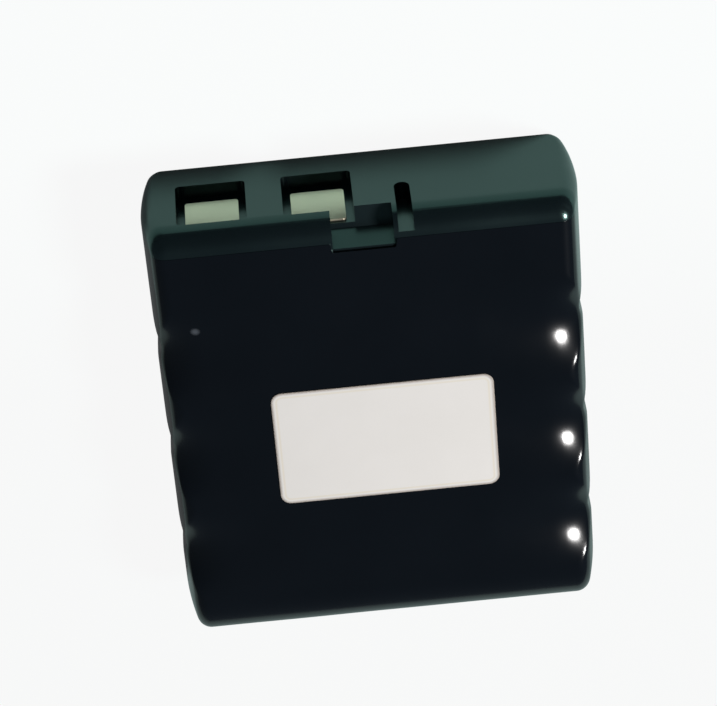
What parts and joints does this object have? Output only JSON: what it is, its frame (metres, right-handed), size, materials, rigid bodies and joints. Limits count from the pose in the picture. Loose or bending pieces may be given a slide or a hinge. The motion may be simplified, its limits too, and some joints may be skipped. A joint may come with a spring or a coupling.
{
  "type": "cordless phone battery",
  "caption": "Flat rechargeable battery pack for a cordless phone: round cells side by side in glossy black shrink film, with recessed contacts and a latch notch along one edge.",
  "frame": {"origin": "middle of the bounding box in X and Y, at the height of the flat back", "axes": "+X along the cells, +Y towards the contact edge, +Z out of the face that carries the label"},
  "size_m": [0.0504, 0.0606, 0.0151],
  "materials": {
    "shrink_film": "glossy black shrink film",
    "holder_plastic": "smooth black moulding",
    "contact_nickel": "nickel plate, lightly worn",
    "label_paper": "matt white paper, plain",
    "cell_can": "nickel-plated steel",
    "jacket_film": "dark thin plastic jacket",
    "strip_nickel": "bright nickel strip",
    "tape_paper": "tan insulating paper",
    "pad_foam": "soft dark pad"
  },
  "bodies": {
    "root": {"shrink_sleeve": "shrink_film", "contact_holder": "holder_plastic", "contact_plate_positive": "contact_nickel", "contact_plate_negative": "contact_nickel", "label": "label_paper", "cell_1": "cell_can", "cell_2": "cell_can", "cell_3": "cell_can", "cell_4": "cell_can", "cell_jacket_1": "jacket_film", "cell_jacket_2": "jacket_film", "cell_jacket_3": "jacket_film", "cell_jacket_4": "jacket_film", "cell_link_1_2": "strip_nickel", "cell_link_2_3": "strip_nickel", "cell_link_3_4": "strip_nickel", "positive_lead": "strip_nickel", "negative_lead": "strip_nickel", "end_tape": "tape_paper", "end_pads_left": "pad_foam", "end_pads_right": "pad_foam"}
  },
  "joints": []
}
